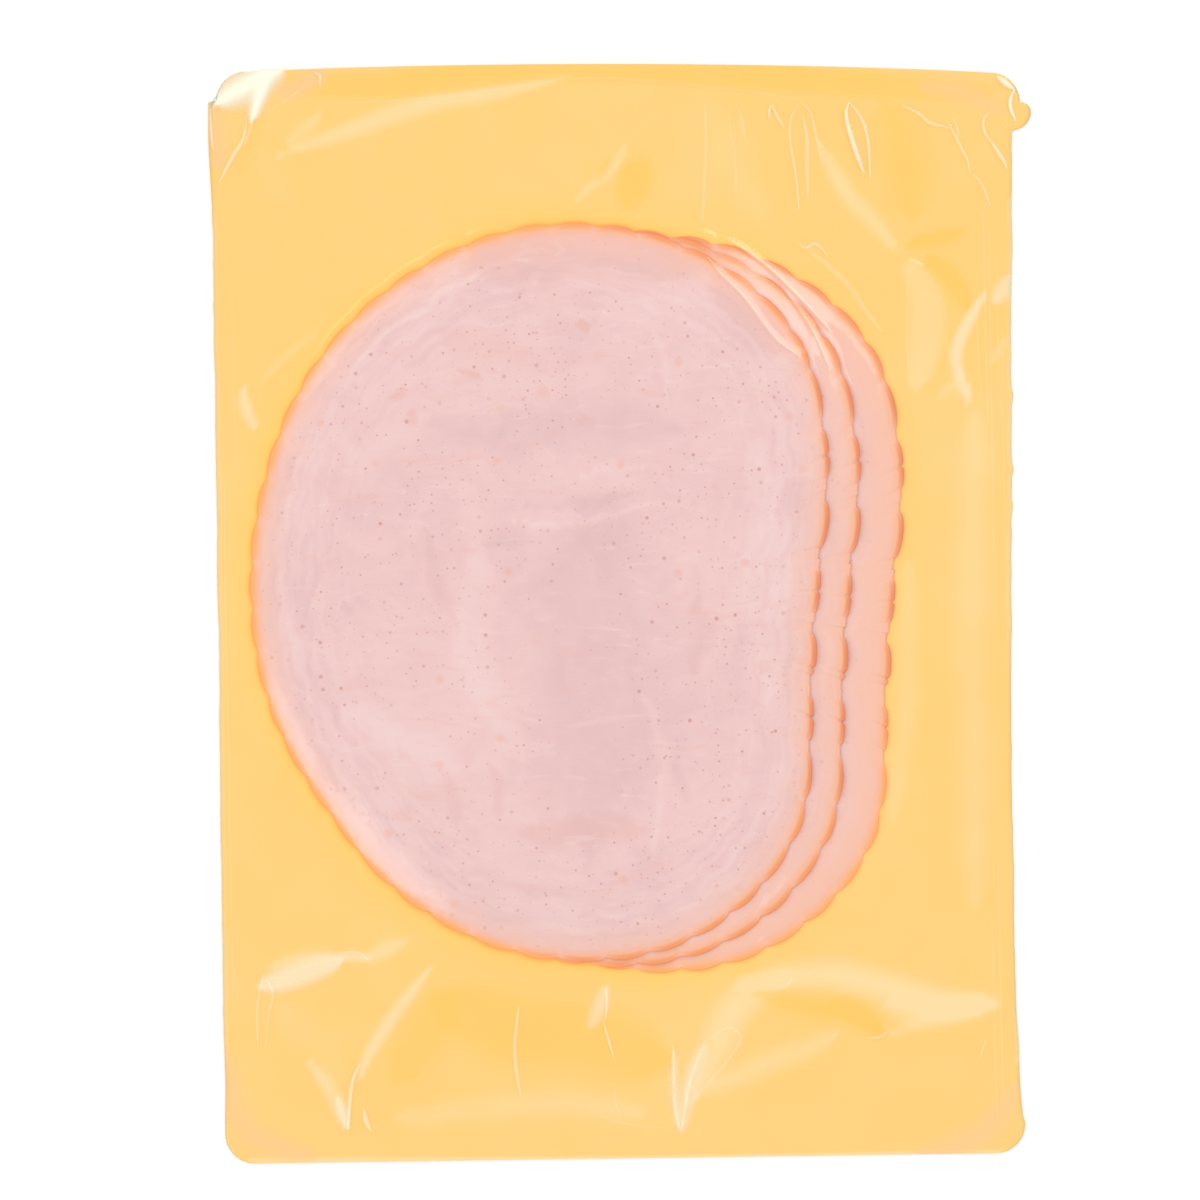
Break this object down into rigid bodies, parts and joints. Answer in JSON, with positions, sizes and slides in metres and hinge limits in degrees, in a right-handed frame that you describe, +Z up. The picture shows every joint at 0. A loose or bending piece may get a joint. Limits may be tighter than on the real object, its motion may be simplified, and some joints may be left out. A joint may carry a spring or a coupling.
{
  "type": "pack of sliced turkey",
  "caption": "Flat vacuum pack with rounded corners: overlapping round meat slices between a coloured backing film and a clear film drawn down over them.",
  "frame": {"origin": "middle of the pack's box on its underside, where it lies on a table", "axes": "+Z up out of the clear film, +Y along the length of the pack to its top cut, +X to the right as it is read"},
  "size_m": [0.1536, 0.2054, 0.006],
  "materials": {
    "backing": "opaque yellow film, softly glossy",
    "turkey": "moist pale pink cooked meat with an orange rim",
    "film": "thin clear glossy plastic film, lightly wrinkled"
  },
  "bodies": {
    "root": {"backing_film": "backing", "slice_bottom": "turkey", "slice_middle": "turkey", "slice_top": "turkey", "clear_film": "film"}
  },
  "joints": []
}
